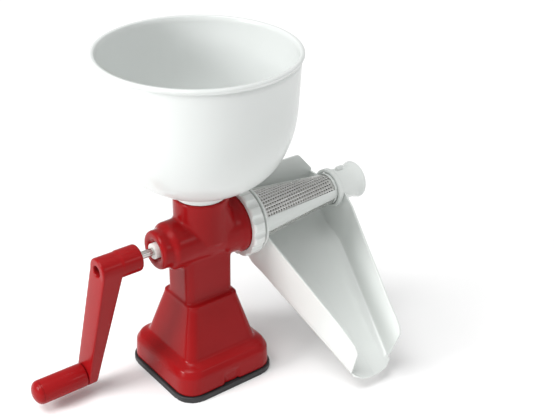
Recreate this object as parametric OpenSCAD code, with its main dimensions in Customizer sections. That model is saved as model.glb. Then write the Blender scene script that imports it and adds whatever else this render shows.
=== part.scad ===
// Hand-cranked food mill: a suction-footed body with a horizontal barrel, a
// hopper above it, and a conical screen with a pouring chute at its front.
// Frame: origin at the centre of the suction pad's underside, +Z up,
// +X along the barrel from the crank towards the waste spout,
// -Y towards the side where the chute pours. Millimetres.

/* [Base] */
// Width of the square suction pad
pad_w = 117; // [105:1:130]
// Height of the pad's rim
pad_h = 6.5; // [6:0.1:8]
// Thickness of the pad's flexible web
pad_web = 3.2; // [2.4:0.1:4]
// Overhang of the pad beyond the skirt
pad_overhang = 2; // [1:0.5:4]
// Corner radius of the pad
pad_corner = 21.5; // [12:0.5:26]
// Height of the skirt wall and its rounded shoulder above the pad
skirt_h = 32; // [28:1:40]
// Width of the tapered column where it leaves the skirt
column_foot_w = 86; // [80:1:92]
// Width of the column's top along the barrel
column_top_x = 60; // [56:1:66]
// Width of the column's top across the barrel
column_top_y = 56; // [52:1:64]
// Height of the column's top ledge above the table
column_h = 90; // [86:1:104]
// Wall thickness of the body moulding
body_wall = 3; // [2.4:0.1:3.6]

/* [Barrel] */
// Height of the barrel's axis above the table
axis_h = 158.5; // [148:0.5:170]
// Inside diameter of the barrel
barrel_bore = 44; // [40:1:46]
// Wall thickness of the barrel
barrel_wall = 4; // [3.5:0.1:5]
// Rear end of the barrel, measured from the base centre
barrel_rear = 42; // [40:1:50]
// Front shoulder of the barrel, measured from the base centre
barrel_front = 43.5; // [40:0.5:50]
// Length of the threaded snout ahead of the shoulder
snout_len = 7.5; // [6:0.5:10]
// Diameter of the rear bearing boss
boss_d = 41; // [36:1:44]
// Length of the rear bearing boss
boss_len = 12; // [8:1:14]

/* [Hopper] */
// Distance of the throat's axis ahead of the base centre
throat_x = 3; // [0:0.5:6]
// Outside diameter of the throat
throat_d = 57; // [52:1:62]
// Height of the throat's mouth above the barrel's axis
throat_rise = 46.5; // [42:0.5:60]
// Diameter of the hopper's rim
rim_d = 200; // [180:1:220]
// Depth of the bowl from rim to underside
bowl_h = 142.7; // [125:0.1:160]
// Wall thickness of the hopper
hopper_wall = 2.4; // [2:0.1:3]

/* [Strainer] */
// Diameter of the screen cone at its wide end
screen_d1 = 56; // [53:0.2:60]
// Diameter of the screen cone at its narrow end
screen_d2 = 32.4; // [30:0.2:38]
// Length of the screen cone
screen_len = 112; // [100:1:130]
// Thickness of the screen's steel sheet
screen_t = 0.6; // [0.4:0.1:0.8]
// Thickness of the frame's ribs
rib_t = 1.6; // [1.2:0.1:2.4]
// Angle covered by each of the three frame ribs
rib_angle = 34; // [20:1:40]
// Outside diameter of the ring nut
nut_d = 76; // [74:1:86]
// Length of the ring nut
nut_len = 14.5; // [13:0.5:18]
// Number of grip scallops on the ring nut
nut_scallops = 14; // [10:1:18]
// Length of the waste spout beyond the screen
spout_len = 37; // [30:1:46]

/* [Chute] */
// Wall thickness of the chute
chute_wall = 2.2; // [1.8:0.1:3]
// Slope of the chute's floor below the horizontal
chute_slope = 33; // [28:0.2:35]
// Reach of the pouring lip in front of the barrel's axis
chute_reach = 138; // [126:1:144]
// Width of the chute's floor at the pouring lip
lip_w = 54; // [46:1:70]
// Height of the chute floor's underside below the barrel's axis
floor_drop = 50.5; // [49:0.5:56]

/* [Crank] */
// Distance from the barrel's axis to the grip's axis
crank_r = 139; // [120:1:140]
// Angle of the arm from straight down, towards the back
crank_angle = 12; // [0:1:40]
// Diameter of the crank's hub and width of its arm
hub_d = 26.8; // [24:0.2:32]
// Length of the crank's hub
hub_len = 45.4; // [40:0.2:52]
// How far the arm flares outwards on its way to the grip
arm_flare = 9; // [6:1:18]
// Diameter of the grip
grip_d = 25.4; // [22:0.2:28]
// Length of the grip without its end cap
grip_len = 49; // [44:1:70]
// Diameter of the drive shaft
shaft_d = 8; // [7:0.5:9]

/* [Suction drive] */
// Height of the cam shaft above the table
cam_h = 22; // [21:0.5:24]
// Lift of the pad's centre when the lever is locked
lift = 3; // [2:0.5:4]
// Diameter of the cam shaft
cam_shaft_d = 6; // [5:0.5:6]
// Diameter of the eccentric cam
cam_d = 12; // [11.5:0.5:13]
// Length of the suction lever from its shaft
lever_len = 46; // [36:1:50]

/* [Fits] */
// Radial clearance of a turning shaft in its bearing
run_gap = 0.05; // [0.02:0.01:0.08]
// Clearance between parts that slide or lift apart
slide_gap = 0.3; // [0.3:0.05:0.6]
// Clearance between fixed parts
seat_gap = 0.1; // [0.05:0.05:0.2]

/* [Hidden] */
$fn = 96;
HULL_FN = 32;
EPS = 0.01;

// Base
skirt_w = pad_w - 2 * pad_overhang;
skirt_top = pad_h + skirt_h;
skirt_corner = pad_corner - pad_overhang;
column_corner = 11;
neck_x = column_top_x - 4;
neck_y = column_top_y - 14;
neck_corner = 8;
lip_h = 3;
screw_at = skirt_w / 2 - 15.5;
post_r = 6;
pad_screw_r = 1.9;
pad_screw_len = 14;
pad_boss_r = 20;
pad_boss_top = 5;

// Barrel
barrel_r = barrel_bore / 2 + barrel_wall;
shoulder_r = barrel_r + 6;
snout_r = barrel_r + 5;
snout_end = barrel_front + snout_len;
back_wall = 5;
seat_x = -barrel_rear + back_wall;
boss_end = -barrel_rear - boss_len;
shaft_r = shaft_d / 2;
bushing_r = shaft_r + 4.1;
seal_r = shaft_r + 6;
seal_t = 3;
washer_t = 1.8;

// Hopper
throat_bore_r = throat_d / 2 - 4;
spigot_r = throat_bore_r - slide_gap;
collar_r = throat_d / 2 - 2;
collar_h = 9.3;
throat_top = axis_h + throat_rise;
bowl_floor = throat_top + collar_h;
rim_z = bowl_floor + bowl_h;
foot_h = bowl_h * 0.71;
foot_power = 2.56;
bowl_taper = 6.2;

// Strainer
gasket_t = 1.5;
flange_t = 3;
flange_x = snout_end + gasket_t;
nut_x = barrel_front + 0.5;
nut_end = nut_x + nut_len;
nut_bore_r = snout_r + slide_gap;
nut_lip_r = screen_d1 / 2 + rib_t - 0.1;
screen_x = nut_end + 1.5;
screen_end = screen_x + screen_len;
neck_ring_r = screen_d1 / 2 + 0.8;
ledge_r = screen_d1 / 2 - 2;
rib_mid = [30, 177, 284];
end_ring_len = 4;
end_ring_r = screen_d2 / 2 + 1.2;
spout_bore_r = screen_d2 / 2 - 2.4;
spout_r = screen_d2 / 2 + 2.3;

// Auger
auger_back = seat_x + washer_t + 6.2;
auger_core = 11;
auger_tip_core = 7;
auger_end = screen_end - 8;
auger_pitch = 26;
flight_angle = 42;
auger_gap = 0.8;
socket_end = 20;

// Chute
chute_x1 = nut_end + 2;
chute_x2 = screen_end + 4;
chute_mid = (chute_x1 + chute_x2) / 2;
chute_back = 36;
wall_top = axis_h + 6.5;
wall_lean = 0.05;
valley = 2.5;
valley_angle = 2.5;
panel_top = axis_h + 31;
collar1_r = neck_ring_r + 7;
collar2_r = end_ring_r + 4.3;

// Crank
hub_front = boss_end - 19;
hub_back = hub_front - hub_len;
arm_top_t = 23;
arm_tip_t = 10;
arm_tip_x = hub_back - arm_flare;
arm_tip_w = hub_d - 1.5;
shaft_end = hub_back + 15.5;
flat_depth = 1;
screw_recess_r = 6;
screw_recess = 10;
crank_screw_r = 2;
crank_screw_len = 22;
grip_pin_r = 4;
cap_seat_r = grip_d / 2 - 3.7;
cap_seat = 9;
grip_z0 = arm_tip_x - 0.4;
grip_tip = grip_z0 - grip_len;
grip_y = crank_r * sin(crank_angle);
grip_h = axis_h - crank_r * cos(crank_angle);

// Suction drive
ecc = lift / sqrt(2);
yoke_t = 9;
yoke_bar = 2.5;
yoke_gap = 0.3;
yoke_half_h = cam_d / 2 + yoke_gap;
yoke_half_w = cam_d / 2 + ecc + 3.4;
yoke_mid = cam_h - lift / 2;
yoke_top = yoke_mid + yoke_half_h + yoke_bar;
stud_r = 3;
plate_r = 17;
plate_t = 2;
web_z = 44;
web_t = 3;
rib_y = 7;
hanger_t = 4;
hanger_w = 20;
cam_shaft_r = cam_shaft_d / 2;
lever_y = skirt_w / 2 + 0.6;
lever_t = 9;
spring_r = 4.6;
spring_wire = 1.2;
guide_r = 2.6;

// Column width at height z, as a share of the way from its foot to its ledge
function column_at(z, top) =
    column_foot_w + (top - column_foot_w) * (z - skirt_top) / (column_h - skirt_top);
// Outside radius of the screen sheet at station x
function screen_r(x) = (screen_d1 + (screen_d2 - screen_d1) * (x - screen_x) / screen_len) / 2;
// Height of the chute floor's underside at station y
function floor_z(y) = axis_h - floor_drop + (y + 4) * tan(chute_slope);
// Points along an arc
function arc(cx, cy, r, a0, a1, n = 8) =
    [for (i = [0:n]) let (a = a0 + (a1 - a0) * i / n) [cx + r * cos(a), cy + r * sin(a)]];

// Places a shape drawn along +Z so that it runs along +X on the barrel's axis
module on_axis(x = 0) { translate([x, 0, axis_h]) rotate([0, 90, 0]) children(); }
// The same, on the grip's axis
module on_grip(x = 0) { translate([x, grip_y, grip_h]) rotate([0, 90, 0]) children(); }
// Places a shape drawn along +Z so that it runs along +Y on the cam shaft's axis
module on_cam(y = 0) { translate([0, y, cam_h]) rotate([-90, 0, 0]) children(); }

module tube(r_out, r_in, h) {
    difference() {
        cylinder(r = r_out, h = h);
        translate([0, 0, -1]) cylinder(r = r_in, h = h + 2);
    }
}

module rounded_rect(w, d, r) {
    square([w - 2 * r, d], center = true);
    square([w, d - 2 * r], center = true);
    for (sx = [-1, 1], sy = [-1, 1]) translate([sx * (w / 2 - r), sy * (d / 2 - r)]) circle(r = r);
}

module slab(z, w, d, r, t = 0.5) {
    translate([0, 0, z]) linear_extrude(height = t) rounded_rect(w, d, r);
}

// Skirt with its shoulder, grown or shrunk by g
module skirt_form(g, z0) {
    hull() {
        slab(z0, skirt_w + 2 * g, skirt_w + 2 * g, skirt_corner + g, $fn = HULL_FN);
        slab(skirt_top - 12, skirt_w - 1.5 + 2 * g, skirt_w - 1.5 + 2 * g, skirt_corner + g, $fn = HULL_FN);
        slab(skirt_top - 5, skirt_w - 9 + 2 * g, skirt_w - 9 + 2 * g, skirt_corner - 2 + g, $fn = HULL_FN);
        slab(skirt_top - 0.5 + g, column_foot_w + 2 * g, column_foot_w + 2 * g, column_corner + 3 + g,
             $fn = HULL_FN);
    }
}

// Tapered column, grown or shrunk by g
module column_form(g, z0, z1) {
    hull() {
        slab(z0, column_at(z0, column_top_x) + 2 * g, column_at(z0, column_top_y) + 2 * g,
             column_corner + g, $fn = HULL_FN);
        slab(z1 - 0.5, column_at(z1, column_top_x) + 2 * g, column_at(z1, column_top_y) + 2 * g,
             column_corner - 3 + g, $fn = HULL_FN);
    }
}

module barrel_profile() {
    polygon(concat(
        [[0, -barrel_rear]],
        arc(barrel_r - 6, -barrel_rear + 5, 5, -90, 0),
        [[barrel_r, 4], [barrel_r, 17], [barrel_r + 2, 20], [barrel_r + 3.5, barrel_front - 8]],
        arc(shoulder_r - 2.5, barrel_front - 2.5, 2.5, 0, 90, 4),
        [[snout_r, barrel_front], [snout_r, snout_end], [0, snout_end]]));
}

module housing() {
    color("firebrick") difference() {
        union() {
            skirt_form(0, pad_h);
            column_form(0, skirt_top - 6, column_h);
            slab(column_h - EPS, column_top_x, column_top_y, column_corner - 3, lip_h);
            slab(column_h - 6, neck_x, neck_y, neck_corner, axis_h - column_h);
            on_axis() rotate_extrude() barrel_profile();
            on_axis() rotate_extrude() polygon(concat(
                [[0, -barrel_rear + 5], [0, boss_end]],
                arc(boss_d / 2 - 3, boss_end + 3, 3, -90, 0, 4),
                [[boss_d / 2, -barrel_rear + 5]]));
            translate([throat_x, 0, axis_h]) cylinder(r = throat_d / 2, h = throat_top - axis_h);
            // gusset that carries the throat onto the front of the barrel
            hull() {
                translate([throat_x, 0, axis_h]) cylinder(r = throat_d / 2 - 1, h = 38, $fn = HULL_FN);
                on_axis(barrel_front - 20) cylinder(r = barrel_r - 1, h = 8, $fn = HULL_FN);
            }
        }
        // hollow underneath
        difference() {
            union() {
                skirt_form(-body_wall, pad_h - 1);
                column_form(-body_wall, skirt_top - 8, column_h - body_wall);
                slab(column_h - 8, neck_x - 2 * body_wall, neck_y - 2 * body_wall,
                     neck_corner - body_wall, axis_h - barrel_r - column_h + 6);
            }
            // web that carries the return spring, and two hangers for the cam shaft
            translate([-hanger_w / 2 - 2, -column_foot_w / 2, web_z]) cube([hanger_w + 4, column_foot_w, web_t]);
            for (s = [-1, 1]) translate([-hanger_w / 2, s * (rib_y + hanger_t / 2) - hanger_t / 2, cam_h - 7])
                cube([hanger_w, hanger_t, web_z - cam_h + 8]);
            // posts for the pad screws
            for (sx = [-1, 1], sy = [-1, 1]) translate([sx * screw_at, sy * screw_at, pad_h])
                cylinder(r = post_r, h = skirt_h);
        }
        // barrel, throat and bearing bores
        on_axis(seat_x) cylinder(r = barrel_bore / 2, h = 200);
        translate([throat_x, 0, axis_h + 8]) cylinder(r = throat_bore_r, h = 100);
        translate([throat_x, 0, axis_h]) cylinder(r = barrel_bore / 2 - 0.5, h = 20);
        on_axis(boss_end - 1) cylinder(r = bushing_r + seat_gap, h = boss_len + back_wall + 2);
        on_axis(boss_end - 1) tube(bushing_r + 4, bushing_r - 1, 3.5);
        on_axis(seat_x - seal_t) cylinder(r = seal_r + seat_gap, h = seal_t + 1);
        // screw holes in the posts
        for (sx = [-1, 1], sy = [-1, 1]) translate([sx * screw_at, sy * screw_at, pad_h - 1])
            cylinder(r = pad_screw_r + 0.05, h = pad_screw_len);
        // cam shaft bearings
        on_cam(-rib_y - hanger_t - 1) cylinder(r = cam_shaft_r + run_gap, h = skirt_w);
        // finger relief in the front of the skirt
        translate([-9.5, -skirt_w / 2 - 3, pad_h - 1]) cube([19, 4.8, 15.5]);
    }
}

module suction_pad() {
    color("#1c1c1e") difference() {
        union() {
            difference() {
                linear_extrude(height = pad_h) rounded_rect(pad_w, pad_w, pad_corner);
                slab(pad_web, skirt_w - 12, skirt_w - 12, skirt_corner - 6, pad_h);
            }
            translate([0, 0, pad_web - 1]) cylinder(r = pad_boss_r, h = pad_boss_top - pad_web + 1);
            for (sx = [-1, 1], sy = [-1, 1]) translate([sx * screw_at, sy * screw_at, 1])
                cylinder(r = post_r + 1, h = pad_h - 1);
        }
        for (sx = [-1, 1], sy = [-1, 1]) translate([sx * screw_at, sy * screw_at, -1]) {
            cylinder(r = pad_screw_r + 2.3, h = 3.2);
            cylinder(r = pad_screw_r + 0.2, h = 20);
        }
    }
}

module pad_screws() {
    color("silver") for (sx = [-1, 1], sy = [-1, 1]) translate([sx * screw_at, sy * screw_at, 0.4]) {
        cylinder(r = pad_screw_r + 2, h = 1.8);
        cylinder(r = pad_screw_r, h = pad_screw_len + 4.5);
    }
}

module pad_plate() {
    color("silver") translate([0, 0, pad_boss_top]) tube(plate_r, stud_r + 0.05, plate_t);
}

module pull_yoke() {
    color("gainsboro") difference() {
        union() {
            translate([0, 0, pad_boss_top]) cylinder(r = stud_r, h = yoke_mid - pad_boss_top - yoke_half_h);
            translate([-yoke_half_w - yoke_bar, -yoke_t / 2, yoke_mid - yoke_half_h - yoke_bar])
                cube([2 * (yoke_half_w + yoke_bar), yoke_t, 2 * (yoke_half_h + yoke_bar)]);
            translate([0, 0, yoke_top - EPS]) cylinder(r = guide_r, h = 5);
        }
        translate([-yoke_half_w, -yoke_t, yoke_mid - yoke_half_h])
            cube([2 * yoke_half_w, 2 * yoke_t, 2 * yoke_half_h]);
    }
}

module pull_cam() {
    color("whitesmoke") difference() {
        on_cam(-yoke_t / 2 + 0.5) translate([lift / 2, lift / 2, 0]) cylinder(r = cam_d / 2, h = yoke_t - 1);
        on_cam(-yoke_t) cylinder(r = cam_shaft_r + 0.02, h = 2 * yoke_t);
    }
}

module cam_shaft() {
    color("silver") difference() {
        on_cam(-rib_y - hanger_t) cylinder(r = cam_shaft_r, h = rib_y + hanger_t + lever_y + lever_t - 2);
        on_cam(lever_y + lever_t - 12) cylinder(r = 1.65, h = 20);
    }
}

module suction_lever() {
    color("firebrick") difference() {
        union() {
            on_cam(lever_y) cylinder(r = 9, h = lever_t);
            hull() {
                on_cam(lever_y + 2) cylinder(r = 7.5, h = 6, $fn = HULL_FN);
                translate([lever_len, 0, 0]) on_cam(lever_y + 2.5) cylinder(r = 6.5, h = 5, $fn = HULL_FN);
            }
        }
        on_cam(lever_y - 1) cylinder(r = cam_shaft_r + 0.05, h = lever_t - 1);
        on_cam(lever_y) cylinder(r = 1.8, h = lever_t + 1);
    }
}

module lever_screw() {
    color("silver") union() {
        on_cam(lever_y + lever_t) cylinder(r = 4, h = 1.8);
        on_cam(lever_y + lever_t - 10) cylinder(r = 1.6, h = 10 + EPS);
    }
}

// Coil spring wound round +Z from z0 to z1, as one swept tube
module coil(r, wire, z0, z1, turns, steps = 14, sides = 6) {
    n = turns * steps;
    span = z1 - z0 - wire;
    pts = [for (i = [0:n]) let (a = 360 * i / steps, z = z0 + wire / 2 + span * i / n)
           for (k = [0:sides - 1]) let (b = 360 * k / sides, q = r + wire / 2 * cos(b))
           [q * cos(a), q * sin(a), z + wire / 2 * sin(b)]];
    sidefaces = [for (i = [0:n - 1], k = [0:sides - 1])
                 let (k2 = (k + 1) % sides)
                 [i * sides + k, i * sides + k2, (i + 1) * sides + k2, (i + 1) * sides + k]];
    polyhedron(points = pts, faces = concat(
        [[for (k = [sides - 1:-1:0]) k]], sidefaces, [[for (k = [0:sides - 1]) n * sides + k]]));
}

module release_spring() {
    color("silver") coil(spring_r, spring_wire, yoke_top, web_z, 5);
}

module shaft_bushing() {
    color("ivory") on_axis(boss_end - 1.5)
        tube(bushing_r, shaft_r + run_gap, boss_len + back_wall - seal_t + 1.5);
}

module shaft_seal() {
    color("#2a2a2a") on_axis(seat_x - seal_t) tube(seal_r, shaft_r + run_gap, seal_t);
}

module thrust_washer() {
    color("ivory") on_axis(seat_x) tube(shaft_r + 7, shaft_r + run_gap, washer_t);
}

module drive_shaft() {
    color("silver") difference() {
        on_axis(shaft_end) cylinder(r = shaft_r, h = socket_end - shaft_end);
        on_axis(shaft_end - 1) cylinder(r = crank_screw_r + 0.05, h = crank_screw_len - 4);
        // flat that the crank's hub keys onto
        translate([shaft_end - 1, -shaft_r, axis_h + shaft_r - flat_depth])
            cube([hub_front - shaft_end + 1, 2 * shaft_r, shaft_r]);
    }
}

module auger_spring() {
    color("silver") on_axis() coil(shaft_r + 2.6, 1.4, seat_x + washer_t, auger_back, 3);
}

// Core radius of the auger at station x
function core_r(x) = x < snout_end ? auger_core
    : auger_core + (auger_tip_core - auger_core) * (x - snout_end) / (auger_end - snout_end);
// Outside radius of the flight at station x
function flight_r(x) = x < screen_x ? barrel_bore / 2 - auger_gap
    : min(ledge_r - 0.5, screen_r(x) - screen_t - auger_gap);
// Flight's share at an angle a from its middle: full on the land, sloping at its flanks
function land(a) = let (h = flight_angle / 2, d = abs(a)) d < h - 8 ? 1 : d < h + 8 ? (h + 8 - d) / 16 : 0;
function wrap(a) = a - 360 * floor((a + 180) / 360);

module auger() {
    sides = 36;
    step = auger_pitch / 16;
    xs = [for (x = [auger_back:step:auger_end]) x];
    n = len(xs);
    outer = [for (i = [0:n - 1]) for (k = [0:sides - 1])
             let (a = 360 * k / sides, x = xs[i], s = min(1, (x - auger_back) / 8) * min(1, (auger_end - x) / 8),
                  r = core_r(x) + s * (flight_r(x) - core_r(x)) * land(wrap(a - 360 * x / auger_pitch)))
             [r * cos(a), r * sin(a), x]];
    bore = [for (x = [socket_end + 0.5, auger_back]) for (k = [0:sides - 1])
            let (a = 360 * k / sides) [(shaft_r + seat_gap) * cos(a), (shaft_r + seat_gap) * sin(a), x]];
    rings = n + 2;
    color("ivory") on_axis() polyhedron(points = concat(bore, outer), faces = concat(
        [[for (k = [0:sides - 1]) k]],
        [for (i = [0:rings - 2], k = [0:sides - 1]) let (k2 = (k + 1) % sides)
         [i * sides + k, (i + 1) * sides + k, (i + 1) * sides + k2]],
        [for (i = [0:rings - 2], k = [0:sides - 1]) let (k2 = (k + 1) % sides)
         [i * sides + k, (i + 1) * sides + k2, i * sides + k2]],
        [[for (k = [sides - 1:-1:0]) (rings - 1) * sides + k]]));
}

module barrel_gasket() {
    color("#2a2a2a") on_axis(snout_end) tube(snout_r - 0.5, barrel_bore / 2 + 0.5, gasket_t);
}

// Side of the bowl from its underside up to just below the rim, set in by g:
// a slightly tapered wall on a rounded foot
function bowl_side(r_top, g) = [for (i = [0:22]) let (
    u = 1 - cos(90 * i / 22), h = min(1, u * bowl_h / foot_h),
    wall = r_top - bowl_taper * (1 - u))
    [(wall - g) * pow(1 - pow(1 - h, foot_power), 1 / foot_power), bowl_floor + g + u * (bowl_h - 4 - g)]];

module hopper() {
    r = rim_d / 2 - 2.2;
    outer = bowl_side(r, 0);
    inner = bowl_side(r, hopper_wall);
    neck_r = spigot_r - 2.4;
    color("whitesmoke") translate([throat_x, 0, 0]) union() {
        rotate_extrude() polygon(concat(
            [[neck_r, throat_top], [collar_r, throat_top], [collar_r, bowl_floor + 0.3]],
            [for (p = outer) if (p[0] > collar_r) p],
            [[r + 2.2, rim_z - 3], [r + 2.2, rim_z - 1], [r + 1.2, rim_z], [r - hopper_wall, rim_z]],
            [for (i = [len(inner) - 1:-1:0]) if (inner[i][0] > neck_r) inner[i]],
            [[neck_r, bowl_floor + 3]]));
        translate([0, 0, throat_top - 22]) tube(spigot_r, neck_r, 22 + EPS);
    }
}

module ring_nut() {
    color("whitesmoke") difference() {
        on_axis(nut_x) rotate_extrude() polygon([
            [nut_bore_r, 0], [nut_d / 2 - 1.5, 0], [nut_d / 2, 1.5], [nut_d / 2, nut_len - 2.5],
            [nut_d / 2 - 3, nut_len], [nut_lip_r, nut_len], [nut_lip_r, nut_len - 2.8],
            [nut_bore_r, nut_len - 2.8]]);
        for (i = [0:nut_scallops - 1]) on_axis(nut_x - 1) rotate([0, 0, 360 * (i + 0.5) / nut_scallops])
            translate([nut_d / 2 + 3.6, 0, 0]) cylinder(r = 6, h = nut_len + 2);
    }
}

module screen_frame() {
    color("whitesmoke") difference() {
        on_axis() rotate_extrude() polygon([
            [ledge_r, flange_x], [snout_r - 0.4, flange_x], [snout_r - 0.4, flange_x + flange_t],
            [neck_ring_r, flange_x + flange_t], [neck_ring_r, chute_x1 + chute_wall],
            [screen_r(chute_x1 + chute_wall + 1) + rib_t, chute_x1 + chute_wall + 1],
            [end_ring_r, screen_end - end_ring_len], [end_ring_r, screen_end],
            [spout_bore_r, screen_end], [spout_bore_r, screen_end - 1.5],
            [screen_r(screen_end - 1.5) + seat_gap, screen_end - 1.5],
            [screen_r(screen_x) + seat_gap, screen_x], [ledge_r, screen_x]]);
        // three windows between the ribs
        for (i = [0:2]) on_axis(chute_x1 + chute_wall + 1)
            window(rib_mid[i] + rib_angle / 2, rib_mid[(i + 1) % 3] + (i == 2 ? 360 : 0) - rib_angle / 2);
    }
}

// Wedge that opens one window; angles run from +Y towards +Z
module window(a0, a1) {
    n = 8;
    h = screen_end - end_ring_len - (chute_x1 + chute_wall + 1);
    linear_extrude(height = h) polygon(concat([[0, 0]],
        [for (i = [0:n]) let (a = a0 + (a1 - a0) * i / n) 60 * [-sin(a), cos(a)]]));
}

module screen_mesh() {
    color("silver") on_axis() rotate_extrude() polygon([
        [screen_r(screen_x + 0.2) - screen_t, screen_x + 0.2], [screen_r(screen_x + 0.2), screen_x + 0.2],
        [screen_r(screen_end - 2), screen_end - 2], [screen_r(screen_end - 2) - screen_t, screen_end - 2]]);
}

// Outline of the pouring walls in side view: along the rim, then back under the rounded end
function pour_wall(lip_y, lip_z) = [[lip_y - 1, lip_z + 48], [lip_y - 6.5, lip_z + 43.5],
    [lip_y - 10, lip_z + 36], [lip_y - 9, lip_z + 27], [lip_y - 3, lip_z + 12], [lip_y, lip_z + 1]];

// One side wall of the trough, leaning outwards and drawn in towards the lip
module chute_side(s) {
    a = (chute_x2 - chute_x1) / 2;
    taper = (a - lip_w / 2) / (chute_reach - 8);
    turn = atan(taper - wall_lean * tan(chute_slope));
    // level part beside the screen
    translate([chute_mid + s * a - (s > 0 ? chute_wall : 0), 0, 0]) rotate([90, 0, 90])
        linear_extrude(height = chute_wall) polygon([[chute_back, floor_z(chute_back)],
            [chute_back, wall_top], [-12, wall_top], [-12, floor_z(-12)]]);
    // pouring part
    translate([chute_mid + s * (a + 8 * taper - wall_lean * floor_z(0)), 0, 0])
        rotate([0, s * atan(wall_lean), 0]) rotate([0, 0, -s * turn])
        translate([s > 0 ? -chute_wall : 0, 0, 0]) rotate([90, 0, 90])
        linear_extrude(height = chute_wall) polygon([for (p = concat(
            [[-6, floor_z(-6)], [-6, wall_top], [-14, wall_top]],
            pour_wall(-chute_reach, floor_z(-chute_reach)))) [p[0] / cos(turn), p[1]]]);
}

// One half of the floor; the two halves meet in a shallow valley
module chute_floor(s) {
    a = (chute_x2 - chute_x1) / 2 - 0.6;
    tongue = chute_reach + 6;
    stretch = 1 / cos(chute_slope);
    translate([chute_mid, 0, floor_z(0) - valley]) rotate([chute_slope, 0, 0]) rotate([0, -s * valley_angle, 0])
        linear_extrude(height = chute_wall) polygon([for (p = concat(
            [[-0.4, chute_back - 0.5], [a, chute_back - 0.5], [a, -8], [lip_w / 2 - 0.4, -chute_reach]],
            arc(lip_w / 2 - 8, -tongue + 7, 7, 0, -90, 4),
            [[-0.4, -tongue]])) [s * p[0], p[1] * stretch]]);
}

module chute() {
    color("whitesmoke") difference() {
        union() {
            for (s = [-1, 1]) {
                chute_side(s);
                chute_floor(s);
            }
            // splash panel at the back
            translate([0, chute_back, 0]) rotate([90, 0, 0]) linear_extrude(height = chute_wall)
                polygon(concat([[chute_x1 + 0.3, floor_z(chute_back) - 1], [chute_x1 + 0.3, wall_top + 4]],
                    arc(chute_x1 + 20, panel_top - 6, 6, 150, 90, 4),
                    arc(chute_x2 - 20, panel_top - 6, 6, 90, 30, 4),
                    [[chute_x2 - 0.3, wall_top + 4], [chute_x2 - 0.3, floor_z(chute_back) - 1]]));
            on_axis(chute_x1 - 0.2) cylinder(r = collar1_r, h = chute_wall + 0.2);
            on_axis(screen_end - 1.5) cylinder(r = collar2_r, h = chute_x2 - screen_end + 1.7);
        }
        on_axis(screen_x - 5) cylinder(r = neck_ring_r + seat_gap, h = 30);
        on_axis(screen_end - 20) cylinder(r = end_ring_r + seat_gap, h = 30);
        // room for the waste spout beyond the far collar
        on_axis(chute_x2 + 0.1) cylinder(r = spout_r + 0.6, h = 12);
    }
}

module waste_spout() {
    x0 = chute_x2 + 0.5;
    x1 = x0 + spout_len - 3;
    color("whitesmoke") union() {
        on_axis() rotate_extrude() polygon(concat(
            [[spout_bore_r - 2.2, screen_end - 6], [spout_bore_r - slide_gap, screen_end - 6],
             [spout_bore_r - slide_gap, x0], [spout_r, x0], [spout_r, x1 - 9], [spout_r + 0.8, x1 - 6]],
            arc(spout_r + 0.4, x1 - 2, 2, -30, 90, 5),
            [[spout_bore_r - 2.2, x1]]));
        translate([x0 + 6, -1.5, axis_h + spout_r - 1.5]) cube([8, 3, 6.5]);
    }
}

module crank_arm() {
    color("firebrick") difference() {
        union() {
            on_axis(hub_back) rotate_extrude() polygon(concat([[0, 0]],
                arc(hub_d / 2 - 1.5, 1.5, 1.5, -90, 0, 3),
                [[hub_d / 2, arm_top_t], [hub_d / 2 + 0.6, arm_top_t + 0.5]],
                arc(hub_d / 2 - 1.4, hub_len - 2, 2, 0, 90, 3), [[0, hub_len]]));
            hull() {
                on_axis(hub_back + 1) cylinder(r = hub_d / 2, h = arm_top_t - 2, $fn = HULL_FN);
                on_grip(arm_tip_x) cylinder(r = arm_tip_w / 2, h = arm_tip_t, $fn = HULL_FN);
            }
        }
        on_axis(hub_back - 1) cylinder(r = screw_recess_r, h = screw_recess + 1);
        on_axis(hub_back) cylinder(r = crank_screw_r + 0.3, h = 30);
        difference() {
            on_axis(shaft_end - 0.5) cylinder(r = shaft_r + seat_gap, h = 60);
            translate([shaft_end - 5, -shaft_r, axis_h + shaft_r - flat_depth + seat_gap])
                cube([80, 2 * shaft_r, shaft_r]);
        }
        on_grip(arm_tip_x - 5) cylinder(r = grip_pin_r + 0.05, h = 40);
        on_grip(arm_tip_x + arm_tip_t) cylinder(r = 6.4, h = 12);
    }
}

module crank_washer() {
    color("silver") on_axis(hub_back + screw_recess - 1) tube(5.5, crank_screw_r + 0.2, 1);
}

module crank_screw() {
    x = hub_back + screw_recess - 1;
    color("silver") difference() {
        union() {
            on_axis(x - 3) cylinder(r = 4.4, h = 3);
            on_axis(x - EPS) cylinder(r = crank_screw_r, h = crank_screw_len);
        }
        translate([x - 4, -3.5, axis_h - 0.5]) cube([2.2, 7, 1]);
    }
}

module grip_pin() {
    color("silver") union() {
        on_grip(arm_tip_x + arm_tip_t) cylinder(r = 6.2, h = 1.8);
        on_grip(grip_tip + 2.5) cylinder(r = grip_pin_r, h = arm_tip_x + arm_tip_t - grip_tip - 2.5 + EPS);
    }
}

module grip() {
    color("firebrick") difference() {
        on_grip(grip_tip) rotate_extrude() polygon(concat([[0, 0], [grip_d / 2, 0]],
            arc(grip_d / 2 - 2, grip_len - 2, 2, 0, 90, 4), [[0, grip_len]]));
        on_grip(grip_tip - 1) cylinder(r = grip_pin_r + run_gap, h = grip_len + 2);
        on_grip(grip_tip - 1) cylinder(r = cap_seat_r, h = cap_seat + 1);
    }
}

module grip_push_nut() {
    color("silver") on_grip(grip_tip + cap_seat - 1.6) tube(cap_seat_r - 1, grip_pin_r + 0.02, 1.2);
}

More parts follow.
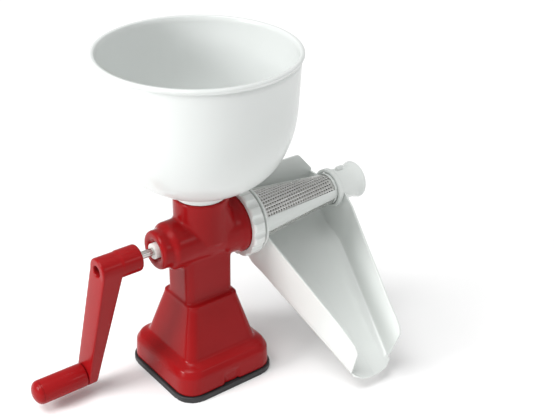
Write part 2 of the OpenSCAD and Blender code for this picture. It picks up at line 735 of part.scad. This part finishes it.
module grip_end_cap() {
    dome = 8;
    color("firebrick") on_grip(grip_tip) difference() {
        union() {
            rotate_extrude() polygon(concat([[0, 0]],
                [for (a = [0:9:90]) [grip_d / 2 * cos(a), -dome * sin(a)]]));
            cylinder(r = cap_seat_r - seat_gap, h = 5);
        }
        translate([0, 0, -2]) cylinder(r = grip_pin_r + 1.5, h = 10);
    }
}

housing();
suction_pad();
pad_screws();
pad_plate();
pull_yoke();
pull_cam();
cam_shaft();
suction_lever();
lever_screw();
release_spring();
shaft_bushing();
shaft_seal();
thrust_washer();
drive_shaft();
auger_spring();
auger();
barrel_gasket();
hopper();
ring_nut();
screen_frame();
screen_mesh();
chute();
waste_spout();
crank_arm();
crank_washer();
crank_screw();
grip_pin();
grip();
grip_push_nut();
grip_end_cap();
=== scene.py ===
"""Hand-cranked food mill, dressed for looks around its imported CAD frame."""
import math

import bmesh
import bpy
from mathutils import Matrix, Vector


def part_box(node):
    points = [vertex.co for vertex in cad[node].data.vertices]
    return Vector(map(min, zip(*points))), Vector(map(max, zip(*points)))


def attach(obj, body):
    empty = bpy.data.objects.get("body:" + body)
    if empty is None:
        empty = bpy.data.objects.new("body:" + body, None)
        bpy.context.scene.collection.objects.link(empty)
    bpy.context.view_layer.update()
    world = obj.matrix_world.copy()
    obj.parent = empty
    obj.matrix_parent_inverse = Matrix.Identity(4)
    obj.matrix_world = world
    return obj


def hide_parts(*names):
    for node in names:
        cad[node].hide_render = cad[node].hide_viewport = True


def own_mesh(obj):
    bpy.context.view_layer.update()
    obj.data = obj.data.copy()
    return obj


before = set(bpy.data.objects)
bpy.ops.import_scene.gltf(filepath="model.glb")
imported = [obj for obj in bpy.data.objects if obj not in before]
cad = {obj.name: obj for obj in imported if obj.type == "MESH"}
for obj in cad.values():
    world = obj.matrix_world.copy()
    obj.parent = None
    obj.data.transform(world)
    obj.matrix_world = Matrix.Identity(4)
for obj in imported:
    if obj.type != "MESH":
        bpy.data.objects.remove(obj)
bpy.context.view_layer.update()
scene = bpy.context.scene
scene.view_settings.view_transform = "Standard"

# ---------------------------------------------------------------- camera
# The viewpoint: a long lens looking down over the crank side,
# with the barrel running away to the upper right.
lens = bpy.data.cameras.new("camera")
lens.sensor_width = 36
lens.lens = 69.18
camera = bpy.data.objects.new("camera", lens)
scene.collection.objects.link(camera)
scene.camera = camera
heading, dip, tilt = (math.radians(a) for a in (51.65, 28.94, 1.0))
forward = Vector((math.cos(dip) * math.cos(heading), math.cos(dip) * math.sin(heading), -math.sin(dip)))
across = forward.cross(Vector((0, 0, 1))).normalized()
upward = across.cross(forward)
turned_x = math.cos(tilt) * across + math.sin(tilt) * upward
turned_y = math.cos(tilt) * upward - math.sin(tilt) * across
pose = Matrix((turned_x, turned_y, -forward)).transposed().to_4x4()
pose.translation = Vector((-0.5174, -0.7808, 0.7071))
camera.matrix_world = pose

# ---------------------------------------------------------------- table and light
# A plain pale table that runs out of view. A soft overhead sun lights it, with
# a panel on the crank side for the highlights and a weak one in front.
bpy.ops.mesh.primitive_plane_add(size=60)
table = bpy.context.object
table.name = "table"


def blank_finish(name):
    """A new node material and its main shader."""
    finish = bpy.data.materials.new(name)
    finish.use_nodes = True
    return finish, finish.node_tree.nodes, finish.node_tree.links, finish.node_tree.nodes["Principled BSDF"]


def soft_panel(name, place, aim, size, power):
    """A rectangular light at a place, facing its aim."""
    panel = bpy.data.lights.new(name, "AREA")
    panel.shape = "RECTANGLE"
    panel.size, panel.size_y = size
    panel.energy = power
    holder = bpy.data.objects.new(name, panel)
    scene.collection.objects.link(holder)
    holder.location = place
    holder.rotation_euler = (Vector(aim) - Vector(place)).to_track_quat("-Z", "Y").to_euler()


table_finish, nodes, links, shader = blank_finish("table_white")
grain = nodes.new("ShaderNodeTexNoise")
grain.inputs["Scale"].default_value = 3
tone = nodes.new("ShaderNodeMix")
tone.data_type = "RGBA"
tone.inputs["A"].default_value = (0.93, 0.93, 0.93, 1)
tone.inputs["B"].default_value = (0.96, 0.96, 0.96, 1)
links.new(grain.outputs["Fac"], tone.inputs["Factor"])
links.new(tone.outputs["Result"], shader.inputs["Base Color"])
shader.inputs["Roughness"].default_value = 0.7
shader.inputs["Specular IOR Level"].default_value = 0.1
table.data.materials.append(table_finish)

room = bpy.data.worlds.new("room")
scene.world = room
room.use_nodes = True
room.node_tree.nodes["Background"].inputs["Color"].default_value = (1, 1, 1, 1)
room.node_tree.nodes["Background"].inputs["Strength"].default_value = 0.5
soft_panel("crank_side_panel", (-1.5, 0.25, 0.85), (0, 0, 0.2), (0.5, 0.5), 16)
soft_panel("front_panel", (0.7, -1.5, 0.9), (0.05, 0, 0.15), (0.35, 0.35), 1.2)
sky = bpy.data.lights.new("overhead", "SUN")
sky.energy = 1.9
sky.angle = math.radians(35)
overhead = bpy.data.objects.new("overhead", sky)
scene.collection.objects.link(overhead)
overhead.rotation_euler = Vector((0.42, 0.02, -1)).to_track_quat("-Z", "Y").to_euler()

# ---------------------------------------------------------------- body
# Skirt, column, neck, barrel, throat and bearing boss are one glossy red ABS
# moulding. Its corners are all softly rounded, as it comes from the mould.


def object_grain(nodes, links, scale, detail=3.0, stretch=(1, 1, 1)):
    """A noise pattern fixed to the piece."""
    coords = nodes.new("ShaderNodeTexCoord")
    placing = nodes.new("ShaderNodeMapping")
    placing.inputs["Scale"].default_value = stretch
    noise = nodes.new("ShaderNodeTexNoise")
    noise.inputs["Scale"].default_value = scale
    noise.inputs["Detail"].default_value = detail
    links.new(coords.outputs["Object"], placing.inputs["Vector"])
    links.new(placing.outputs["Vector"], noise.inputs["Vector"])
    return noise.outputs["Fac"]


def span(nodes, links, source, low, high):
    """Stretch a 0 to 1 pattern between two values."""
    ranger = nodes.new("ShaderNodeMapRange")
    ranger.inputs["From Min"].default_value = 0.3
    ranger.inputs["From Max"].default_value = 0.7
    ranger.inputs["To Min"].default_value = low
    ranger.inputs["To Max"].default_value = high
    links.new(source, ranger.inputs["Value"])
    return ranger.outputs["Result"]


def two_tones(nodes, links, source, dark, light):
    """Colour that follows a pattern between two tones."""
    mixer = nodes.new("ShaderNodeMix")
    mixer.data_type = "RGBA"
    mixer.inputs["A"].default_value = (*dark, 1)
    mixer.inputs["B"].default_value = (*light, 1)
    links.new(source, mixer.inputs["Factor"])
    return mixer.outputs["Result"]


def skin_bump(nodes, links, source, height, shader):
    """Fine relief of a surface, height in metres."""
    bump = nodes.new("ShaderNodeBump")
    bump.inputs["Strength"].default_value = 0.35
    bump.inputs["Distance"].default_value = height
    links.new(source, bump.inputs["Height"])
    links.new(bump.outputs["Normal"], shader.inputs["Normal"])


def moulded_plastic(name, dark, light, gloss, flow=16, skin=0.00012, painted_edge_highlight=None):
    """Injection-moulded plastic: faint flow tones, uneven gloss, a slightly wavy skin and, if asked, a
    painted highlight that makes sharp edges paler.
    """
    finish, nodes, links, shader = blank_finish(name)
    flow_marks = object_grain(nodes, links, flow)
    tone = two_tones(nodes, links, span(nodes, links, flow_marks, 0, 1), dark, light)
    # Painted highlight: sharp edges, found by pointiness, are mixed towards a brighter colour.
    if painted_edge_highlight:
        geometry = nodes.new("ShaderNodeNewGeometry")
        edge = nodes.new("ShaderNodeMapRange")
        edge.inputs["From Min"].default_value = 0.53
        edge.inputs["From Max"].default_value = 0.62
        edge.inputs["To Max"].default_value = 0.5
        links.new(geometry.outputs["Pointiness"], edge.inputs["Value"])
        mixer = nodes.new("ShaderNodeMix")
        mixer.data_type = "RGBA"
        mixer.inputs["B"].default_value = (*painted_edge_highlight, 1)
        links.new(edge.outputs["Result"], mixer.inputs["Factor"])
        links.new(tone, mixer.inputs["A"])
        tone = mixer.outputs["Result"]
    links.new(tone, shader.inputs["Base Color"])
    handling = object_grain(nodes, links, 45, 5)
    links.new(span(nodes, links, handling, gloss * 0.8, gloss * 1.3), shader.inputs["Roughness"])
    skin_bump(nodes, links, object_grain(nodes, links, 130, 2), skin, shader)
    return finish


# The red's brighter edge colour is a painted highlight along its sharp edges.
red_plastic = moulded_plastic("red_abs", (0.265, 0.006, 0.007), (0.305, 0.007, 0.009), 0.2, skin=0.00004,
                              painted_edge_highlight=(0.56, 0.04, 0.04))
red_plastic.node_tree.nodes["Principled BSDF"].inputs["Specular IOR Level"].default_value = 0.14


def cast_of(node, name):
    """A merged copy of a CAD node's mesh, to be worked on."""
    mesh = cad[node].data.copy()
    mesh.materials.clear()
    piece = bpy.data.objects.new(name, mesh)
    scene.collection.objects.link(piece)
    work = bmesh.new()
    work.from_mesh(mesh)
    bmesh.ops.remove_doubles(work, verts=work.verts, dist=1e-6)
    work.to_mesh(mesh)
    work.free()
    return piece


def settle(piece):
    """Apply the piece's modifiers to its mesh."""
    shaped = bpy.data.meshes.new_from_object(piece.evaluated_get(bpy.context.evaluated_depsgraph_get()))
    piece.modifiers.clear()
    piece.data = shaped
    return piece


def soften(piece, grain_size, rounds):
    """Re-form a hard-edged cast with rounded corners: a fine even skin, relaxed a few times."""
    skin = piece.modifiers.new("skin", "REMESH")
    skin.mode = "VOXEL"
    skin.voxel_size = grain_size
    relax = piece.modifiers.new("relax", "SMOOTH")
    relax.factor = 0.5
    relax.iterations = rounds
    return settle(piece)


def finish_piece(piece, finish, body, slot, *nodes):
    """Give the piece its finish and smooth shading, and put it in place of its CAD nodes."""
    piece.data.materials.clear()
    piece.data.materials.append(finish)
    for face in piece.data.polygons:
        face.use_smooth = True
        face.material_index = 0
    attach(piece, body)
    if nodes:
        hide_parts(*nodes)
    return piece


body_moulding = soften(cast_of("housing", "body_moulding"), 0.0014, 7)
finish_piece(body_moulding, red_plastic, "base", "red_plastic", "housing")

# ---------------------------------------------------------------- suction pad
# A square pad of soft black rubber under the skirt, held by four hidden
# screws, with a steel disc in its middle that the suction lever lifts.


def rubber(name, tone):
    """Matt rubber with a little dust in its pores."""
    finish, nodes, links, shader = blank_finish(name)
    dust = object_grain(nodes, links, 60, 6)
    links.new(two_tones(nodes, links, span(nodes, links, dust, 0, 1), tone, [t * 2.2 for t in tone]),
              shader.inputs["Base Color"])
    links.new(span(nodes, links, dust, 0.38, 0.6), shader.inputs["Roughness"])
    skin_bump(nodes, links, object_grain(nodes, links, 700, 2), 0.0001, shader)
    return finish


black_rubber = rubber("black_rubber", (0.010, 0.010, 0.011))
rubber_pad = soften(cast_of("suction_pad", "rubber_pad"), 0.0009, 3)
finish_piece(rubber_pad, black_rubber, "base", "black_rubber", "suction_pad")


def steel(name, tone, roughness, stretch):
    """Drawn or turned steel: fine marks along one direction that break up its gloss."""
    finish, nodes, links, shader = blank_finish(name)
    shader.inputs["Metallic"].default_value = 1.0
    marks = object_grain(nodes, links, 60, 5, stretch)
    cloud = object_grain(nodes, links, 30, 3)
    links.new(two_tones(nodes, links, span(nodes, links, cloud, 0, 1), [t * 0.85 for t in tone], tone),
              shader.inputs["Base Color"])
    links.new(span(nodes, links, marks, roughness * 0.7, roughness * 1.4), shader.inputs["Roughness"])
    skin_bump(nodes, links, marks, 0.00004, shader)
    return finish


satin_steel = steel("satin_steel", (0.62, 0.61, 0.59), 0.28, (1, 12, 12))
zinc_steel = steel("zinc_plated_steel", (0.66, 0.66, 0.64), 0.34, (6, 6, 1))


def dress(finish, *names):
    """Give CAD nodes whose shape is right their finish."""
    for name in names:
        cad[name].data.materials.clear()
        cad[name].data.materials.append(finish)


dress(zinc_steel, "pad_screws", "pad_plate", "pull_yoke", "pull_cam", "cam_shaft", "lever_screw")

# The return spring stands between the yoke and the web above it, and is
# pressed shorter when the lever lifts the yoke.
spring = cast_of("release_spring", "return_spring")
finish_piece(spring, zinc_steel, "base", "steel", "release_spring")
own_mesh(spring)

# ---------------------------------------------------------------- suction lever
# The red lever on the far side that turns the cam shaft. It is moulded like
# the body and held by one screw.
lever_moulding = soften(cast_of("suction_lever", "lever_moulding"), 0.0006, 4)
finish_piece(lever_moulding, red_plastic, "lever", "red_plastic", "suction_lever")

# ---------------------------------------------------------------- shaft and bearing
# The steel drive shaft turns in a white nylon bushing pressed into the boss,
# with a rubber seal and a thrust washer behind the auger.


def nylon(name, dark, light):
    """Unpainted nylon, slightly cloudy."""
    finish, nodes, links, shader = blank_finish(name)
    cloud = object_grain(nodes, links, 40, 4)
    clouded = two_tones(nodes, links, span(nodes, links, cloud, 0, 1), dark, light)
    links.new(clouded, shader.inputs["Base Color"])
    links.new(span(nodes, links, cloud, 0.36, 0.52), shader.inputs["Roughness"])
    skin_bump(nodes, links, object_grain(nodes, links, 400, 2), 0.00008, shader)
    return finish


white_nylon = nylon("white_nylon", (0.74, 0.74, 0.71), (0.84, 0.84, 0.81))
ivory_nylon = nylon("ivory_nylon", (0.66, 0.63, 0.53), (0.76, 0.73, 0.63))
dress(satin_steel, "drive_shaft", "auger_spring")
dress(white_nylon, "shaft_bushing", "thrust_washer")
dress(black_rubber, "shaft_seal", "barrel_gasket")
dress(ivory_nylon, "auger")

# ---------------------------------------------------------------- hopper
# A deep bowl of glossy white polypropylene with a thin wall, a rolled lip
# standing slightly proud, and a spigot that drops into the throat.


def turned(name, profile, centre, axis, steps):
    """Spin a closed outline round an axis. The outline's points are (out, along)."""
    axis = Vector(axis)
    out = Vector((0, 1, 0)) if abs(axis.x) > 0.5 else Vector((1, 0, 0))
    work = bmesh.new()
    points = [work.verts.new(Vector(centre) + out * r + axis * t) for r, t in profile]
    edges = [work.edges.new((a, b)) for a, b in zip(points, points[1:] + points[:1])]
    bmesh.ops.spin(work, geom=points + edges, cent=centre, axis=axis, angle=2 * math.pi,
                   steps=steps, use_merge=True)
    bmesh.ops.remove_doubles(work, verts=work.verts, dist=2e-6)
    bmesh.ops.recalc_face_normals(work, faces=work.faces)
    mesh = bpy.data.meshes.new(name)
    work.to_mesh(mesh)
    work.free()
    piece = bpy.data.objects.new(name, mesh)
    scene.collection.objects.link(piece)
    return piece


def bend(centre, radius, start, end, count=6):
    """Points along a round corner, angles in degrees from outward towards along."""
    return [(centre[0] + radius * math.cos(math.radians(start + (end - start) * i / count)),
             centre[1] + radius * math.sin(math.radians(start + (end - start) * i / count)))
            for i in range(count + 1)]


white_plastic = moulded_plastic("white_polypropylene", (0.74, 0.77, 0.75), (0.78, 0.81, 0.79), 0.18, flow=9,
                                skin=0.00003)
hopper_low, hopper_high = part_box("hopper")
throat_x = (hopper_low.x + hopper_high.x) / 2
rim_z = hopper_high.z
bowl_floor = hopper_low.z + 0.0313
bowl_r = (hopper_high.x - hopper_low.x) / 2 - 0.0022
hopper_wall = 0.0024
spigot_r, neck_r, collar_r = 0.0242, 0.0218, 0.0265
foot_share, foot_power, wall_taper, lip_depth = 0.71, 2.56, 0.0062, 0.006


def bowl_curve(inset):
    """The bowl's side from underside to lip: a rounded foot under a slightly tapered wall."""
    rows = []
    for i in range(41):
        u = 1 - math.cos(math.pi / 2 * i / 40)
        h = min(1.0, u / foot_share)
        wall = bowl_r - wall_taper * (1 - u) - inset
        z = bowl_floor + inset + u * (rim_z - lip_depth - bowl_floor - inset)
        rows.append((wall * (1 - (1 - h) ** foot_power) ** (1 / foot_power), z))
    return rows


lip = [(bowl_r - 0.0002, rim_z - 0.0058), (bowl_r + 0.0006, rim_z - 0.0052)]
lip += bend((bowl_r + 0.0002, rim_z - 0.0021), 0.0021, -55, 90, 8)
lip += [(bowl_r - hopper_wall + 0.0008, rim_z), (bowl_r - hopper_wall, rim_z - 0.0008)]
outside = [p for p in bowl_curve(0) if p[0] > collar_r + 0.0025]
inside = [p for p in reversed(bowl_curve(hopper_wall)) if p[0] > neck_r + 0.002]
fillet_z = outside[0][1]
spigot_foot = hopper_low.z
outline = [(neck_r, spigot_foot + 0.0006), (neck_r + 0.0006, spigot_foot), (spigot_r - 0.0006, spigot_foot),
           (spigot_r, spigot_foot + 0.0006), (spigot_r, spigot_foot + 0.0219)]
outline += bend((collar_r - 0.0008, spigot_foot + 0.0228), 0.0008, -90, 0, 4)
outline += [(collar_r, fillet_z - 0.0022), (collar_r + 0.0006, fillet_z - 0.0008)]
outline += outside + lip + inside
outline += [(neck_r + 0.0004, bowl_floor + 0.0026), (neck_r, bowl_floor + 0.0018)]
bowl = turned("hopper_bowl", outline, (throat_x, 0, 0), (0, 0, 1), 160)
hopper_white = moulded_plastic("white_polypropylene_thin", (0.80, 0.825, 0.81), (0.84, 0.86, 0.85), 0.18,
                               flow=9, skin=0.00003)
nodes, links = hopper_white.node_tree.nodes, hopper_white.node_tree.links
glow = nodes.new("ShaderNodeBsdfTranslucent")
glow.inputs["Color"].default_value = (0.9, 0.92, 0.91, 1)
blend = nodes.new("ShaderNodeMixShader")
blend.inputs["Fac"].default_value = 0.22
links.new(nodes["Principled BSDF"].outputs["BSDF"], blend.inputs[1])
links.new(glow.outputs["BSDF"], blend.inputs[2])
links.new(blend.outputs["Shader"], nodes["Material Output"].inputs["Surface"])
finish_piece(bowl, hopper_white, "hopper", "white_plastic", "hopper")

# ---------------------------------------------------------------- ring nut
# The scalloped white nut that clamps the strainer's flange onto the barrel.
# Its lobes are rounded for wet hands.
nut = soften(cast_of("ring_nut", "ring_nut_moulding"), 0.0005, 2)
finish_piece(nut, white_plastic, "nut", "white_plastic", "ring_nut")

# ---------------------------------------------------------------- screen
# A cone of thin stainless sheet. Its holes are punched in straight rows while
# it is flat, with a plain margin left along one side, and it is then rolled.
screen_low, screen_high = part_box("screen_mesh")
axis_z = (screen_low.z + screen_high.z) / 2
wide_r = (screen_high.z - screen_low.z) / 2
screen_x0, screen_x1 = screen_low.x, screen_high.x
narrow_r = 0.0163
sheet = 0.0006
half_angle = math.atan((wide_r - narrow_r) / (screen_x1 - screen_x0))
reach_wide, reach_narrow = wide_r / math.sin(half_angle), narrow_r / math.sin(half_angle)
hole_pitch = 0.0036
hole_r = 0.00105
hole_inset = 0.00082
margin_start, margin_end, margin_flare = 52, 84, 6
row_turn = math.radians(177)


def rolled_screen():
    """Punch the flat sheet, cut it to its fan shape and roll it round the barrel's axis."""
    fan = math.pi * math.sin(half_angle)
    rows = int(2 * reach_wide * math.sin(fan) / hole_pitch) + 3
    columns = int((reach_wide - reach_narrow * math.cos(fan)) / hole_pitch) + 3
    work = bmesh.new()
    bmesh.ops.create_grid(work, x_segments=columns, y_segments=rows, size=0.5)
    middle = (reach_wide + reach_narrow * math.cos(fan)) / 2
    bmesh.ops.scale(work, vec=(columns * hole_pitch, rows * hole_pitch, 1), verts=work.verts)
    bmesh.ops.translate(work, vec=(middle, 0, 0), verts=work.verts)
    beyond = []
    for face in work.faces:
        spot = face.calc_center_median()
        reach, turn = math.hypot(spot.x, spot.y), math.atan2(spot.y, spot.x)
        if not reach_narrow - 0.002 < reach < reach_wide + 0.002 or abs(turn) > fan + 0.006:
            beyond.append(face)
    bmesh.ops.delete(work, geom=beyond, context="FACES")
    pierced = []
    for face in work.faces:
        spot = face.calc_center_median()
        reach, turn = math.hypot(spot.x, spot.y), math.atan2(spot.y, spot.x)
        around = math.degrees(turn / math.sin(half_angle) + row_turn) % 360
        inside_sheet = reach_narrow + 0.0035 < reach < reach_wide - 0.003 and abs(turn) < fan * 0.985
        far = (reach_wide - reach) / (reach_wide - reach_narrow)
        plain = margin_start < around < margin_end - margin_flare * far
        if inside_sheet and not plain:
            pierced.append(face)
    bmesh.ops.inset_individual(work, faces=pierced, thickness=hole_inset, use_even_offset=True)
    rims = list({edge for face in pierced for edge in face.edges})
    bmesh.ops.subdivide_edges(work, edges=rims, cuts=1)
    for face in pierced:
        spot = face.calc_center_median()
        for corner in face.verts:
            corner.co = spot + (corner.co - spot).normalized() * hole_r
    bmesh.ops.delete(work, geom=pierced, context="FACES")
    for point in work.verts:
        reach = min(max(math.hypot(point.co.x, point.co.y), reach_narrow), reach_wide)
        turn = min(max(math.atan2(point.co.y, point.co.x), -fan), fan)
        around = turn / math.sin(half_angle) + row_turn
        r = reach * math.sin(half_angle)
        point.co = (screen_x0 + (reach_wide - reach) * math.cos(half_angle),
                    r * math.cos(around), axis_z + r * math.sin(around))
    bmesh.ops.remove_doubles(work, verts=work.verts, dist=2e-5)
    bmesh.ops.dissolve_degenerate(work, dist=1e-6, edges=work.edges)
    bmesh.ops.recalc_face_normals(work, faces=work.faces)
    mesh = bpy.data.meshes.new("punched_screen")
    work.to_mesh(mesh)
    work.free()
    piece = bpy.data.objects.new("punched_screen", mesh)
    scene.collection.objects.link(piece)
    thick = piece.modifiers.new("thick", "SOLIDIFY")
    thick.thickness = sheet
    thick.offset = -1
    return settle(piece)


bright_sheet = steel("bright_perforated_steel", (0.78, 0.78, 0.76), 0.26, (1, 8, 8))
punched_screen = rolled_screen()
finish_piece(punched_screen, bright_sheet, "strainer", "perforated_steel", "screen_mesh")

# ---------------------------------------------------------------- screen frame
# A white cage with two end rings and three ribs, moulded round the screen.
# Its edges are broken by a small radius.


def break_edges(piece, radius, steps=2, sharp=35):
    """Merge flat facets, then round the sharp edges."""
    work = bmesh.new()
    work.from_mesh(piece.data)
    bmesh.ops.dissolve_limit(work, angle_limit=math.radians(1.5), verts=work.verts, edges=work.edges)
    corners = [e for e in work.edges if len(e.link_faces) == 2 and e.calc_face_angle(0) > math.radians(sharp)]
    bmesh.ops.bevel(work, geom=corners, offset=radius, offset_type="OFFSET", segments=steps, profile=0.5,
                    affect="EDGES", clamp_overlap=True, material=-1)
    work.to_mesh(piece.data)
    work.free()
    return piece


cage = break_edges(cast_of("screen_frame", "screen_cage"), 0.0004)
finish_piece(cage, white_plastic, "strainer", "white_plastic", "screen_frame")

# ---------------------------------------------------------------- chute
# One white moulding: a trough with leaning side walls and a valley down its
# floor, a collar at each end of the screen, and a splash panel at the back.
chute_low, chute_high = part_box("chute")
chute_wall = 0.0022
floor_slope, valley_depth = 0.653, 0.0042


def chute_floor_z(y):
    """Height of the floor's corners."""
    return axis_z - 0.0479 + floor_slope * y


def chute_station(foot_y, rim_y, rim_z, lean):
    """One cross-section of the trough, from the near rim down, across the floor and up to the far rim."""
    taper = min(max((-foot_y - 0.008) / 0.012, 0), 1)
    middle = 0.11825 + 0.00275 * taper
    half = 0.05775 - 0.00125 * taper - 0.2508 * max(-foot_y - 0.02, 0)
    floor = chute_floor_z(foot_y)
    row = []
    for side in (-1, 1):
        wall = []
        for h in (1, 0.96, 0.72, 0.46, 0.22, 0.09):
            z = floor + h * (rim_z - floor)
            wall.append((middle + side * (half + lean * (z - floor)), foot_y + h * (rim_y - foot_y), z))
        wall.append((middle + side * (half - 0.0009), foot_y, floor + 0.0012))
        corner = [(middle + side * half * f, foot_y, floor - valley_depth * (1 - f))
                  for f in (0.93, 0.6, 0.3, 0.05)]
        points = wall + corner
        row += points if side < 0 else [(middle, foot_y, floor - valley_depth)] + points[::-1]
    return row


def chute_trough():
    """Skin the trough along its stations; the tongue's corners are rounded at the lip."""
    stations = [(0.036, 0.036, axis_z + 0.0065, 0), (0.012, 0.012, axis_z + 0.0065, 0),
                (-0.008, -0.008, axis_z + 0.0055, 0), (-0.020, -0.020, axis_z - 0.0002, 0.05),
                (-0.034, -0.034, axis_z - 0.0107, 0.09)]
    stations += [(y, y * 1.035 + 0.0012, axis_z - 0.0107 + 0.7525 * (y * 1.035 + 0.0352), 0.09)
                 for y in (-0.055, -0.08, -0.105, -0.122)]
    stations += [(-0.1290, -0.1385, axis_z - 0.0895, 0.09), (-0.1325, -0.1440, axis_z - 0.0945, 0.09),
                 (-0.1350, -0.1470, axis_z - 0.0990, 0.09), (-0.1365, -0.1480, axis_z - 0.1035, 0.09)]
    work = bmesh.new()
    rows = [[work.verts.new(p) for p in chute_station(*station)] for station in stations]
    tongue = chute_station(*stations[-1])
    foot_points = range(7, 16)
    middle, half_lip, tongue_reach = tongue[11][0], 0.0275, 0.0075
    for amount in (0.55, 1.0):
        row = []
        for i, (x, y, z) in enumerate(tongue):
            if i in foot_points:
                off_centre = abs(x - middle) / half_lip
                push = tongue_reach * amount * (1 - off_centre ** 5)
                row.append(work.verts.new((x, y - push, z - floor_slope * push)))
            else:
                row.append(rows[-1][i])
        rows.append(row)
    for near, far in zip(rows, rows[1:]):
        for i in range(len(near) - 1):
            loop = [near[i], near[i + 1], far[i + 1], far[i]]
            loop = [v for k, v in enumerate(loop) if v not in loop[:k]]
            if len(loop) > 2:
                work.faces.new(loop)
    bmesh.ops.recalc_face_normals(work, faces=work.faces)
    return work


def solid_shell(work, name, thickness, edge, offset):
    """Thicken a skin and round its sharp edges."""
    mesh = bpy.data.meshes.new(name)
    work.to_mesh(mesh)
    work.free()
    piece = bpy.data.objects.new(name, mesh)
    scene.collection.objects.link(piece)
    thick = piece.modifiers.new("thick", "SOLIDIFY")
    thick.thickness = thickness
    thick.offset = offset
    thick.use_even_offset = True
    rounded = piece.modifiers.new("rounded", "BEVEL")
    rounded.width = edge
    rounded.segments = 3
    rounded.limit_method = "ANGLE"
    rounded.angle_limit = math.radians(50)
    return settle(piece)


trough_skin = chute_trough()
floor_face = min(trough_skin.faces, key=lambda f: f.calc_center_median().z)
outward = -1 if floor_face.normal.z < 0 else 1
chute = solid_shell(trough_skin, "chute_moulding", chute_wall, 0.0007, outward)
finish_piece(chute, white_plastic, "strainer", "white_plastic", "chute")

# The splash panel stands up behind the screen and is one piece with the trough.
panel = bmesh.new()
panel_top = axis_z + 0.031
left, right = chute_low.x + 0.0006, chute_high.x - 0.0006
low = chute_floor_z(0.036)
outline = [(left, low)] + bend((left + 0.006, panel_top - 0.006), 0.006, 180, 90, 5)
outline += bend((0.1535, panel_top - 0.009), 0.009, 90, 32, 6)
outline += [(0.1755, axis_z + 0.0105)] + bend((0.1725, axis_z + 0.008), 0.004, 30, 0, 3) + [(0.1765, low)]
panel.faces.new([panel.verts.new((x, 0.036, z)) for x, z in outline])
splash_panel = solid_shell(panel, "splash_panel", chute_wall, 0.0007, 0)
finish_piece(splash_panel, white_plastic, "strainer", "white_plastic")

# Each end of the screen sits in a flat collar of the same moulding.


def collar(name, x, width, inner, outer):
    """A flat ring round the barrel's axis, starting at x."""
    edge, end = 0.0005, x + width
    outline = [(inner, x + edge), (inner + edge, x), (outer - edge, x), (outer, x + edge),
               (outer, end - edge), (outer - edge, end), (inner + edge, end), (inner, end - edge)]
    ring = turned(name, outline, (0, 0, axis_z), (1, 0, 0), 96)
    return finish_piece(ring, white_plastic, "strainer", "white_plastic")


near_bore = wide_r + 0.0009
collar("near_collar", 0.0603, 0.0024, near_bore, 0.0358)
collar("far_collar", 0.1705, 0.0055, 0.0182, 0.0217)

# ---------------------------------------------------------------- waste spout
# A short white drum plugged into the screen's narrow end. Its open end has a
# rolled lip, and a small tab on top turns it.
spout_low, spout_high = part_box("waste_spout")
drum_x, drum_end, drum_r, plug_r, bore_r = 0.1765, spout_high.x, 0.0185, 0.0137, 0.0116
profile = [(bore_r, spout_low.x + 0.0005), (bore_r + 0.0005, spout_low.x), (plug_r - 0.0006, spout_low.x),
           (plug_r, spout_low.x + 0.0008), (plug_r, drum_x + 0.0003)]
profile += bend((drum_r - 0.0015, drum_x + 0.0018), 0.0015, -90, 0, 5)
profile += [(drum_r - 0.0004, drum_x + 0.010), (drum_r - 0.0004, drum_end - 0.0115),
            (drum_r, drum_end - 0.0085),
            (drum_r + 0.0012, drum_end - 0.0055)]
profile += bend((drum_r - 0.0004, drum_end - 0.0028), 0.0028, 15, 90, 7)
profile += [(bore_r + 0.0016, drum_end), (bore_r, drum_end - 0.0015)]
spout = turned("spout_drum", profile, (0, 0, axis_z), (1, 0, 0), 96)
finish_piece(spout, white_plastic, "spout", "white_plastic", "waste_spout")
tab = bmesh.new()
bmesh.ops.create_cube(tab, size=1)
bmesh.ops.scale(tab, vec=(0.009, 0.0032, 0.0062), verts=tab.verts)
bmesh.ops.bevel(tab, geom=list(tab.edges), offset=0.0009, offset_type="OFFSET", segments=3, profile=0.5,
                affect="EDGES", clamp_overlap=True, material=-1)
bmesh.ops.translate(tab, vec=(drum_x + 0.010, 0, axis_z + drum_r + 0.0012), verts=tab.verts)
tab_mesh = bpy.data.meshes.new("spout_tab")
tab.to_mesh(tab_mesh)
tab.free()
spout_tab = bpy.data.objects.new("spout_tab", tab_mesh)
scene.collection.objects.link(spout_tab)
finish_piece(spout_tab, white_plastic, "spout", "white_plastic")

# ---------------------------------------------------------------- crank
# Hub and arm are one red moulding on the shaft's flat, with a washer and
# screw sunk in the hub's outer end.
arm = soften(cast_of("crank_arm", "crank_moulding"), 0.0008, 5)
finish_piece(arm, red_plastic, "crank", "red_plastic", "crank_arm")
dress(zinc_steel, "crank_washer", "crank_screw", "grip_pin", "grip_push_nut")

# ---------------------------------------------------------------- grip
# A red sleeve that turns on a steel pin, closed by a domed cap that snaps
# into its end.
sleeve = break_edges(cast_of("grip", "grip_sleeve"), 0.0006)
finish_piece(sleeve, red_plastic, "grip", "red_plastic", "grip")
cap = break_edges(cast_of("grip_end_cap", "grip_cap"), 0.0003)
finish_piece(cap, red_plastic, "grip", "red_plastic", "grip_end_cap")
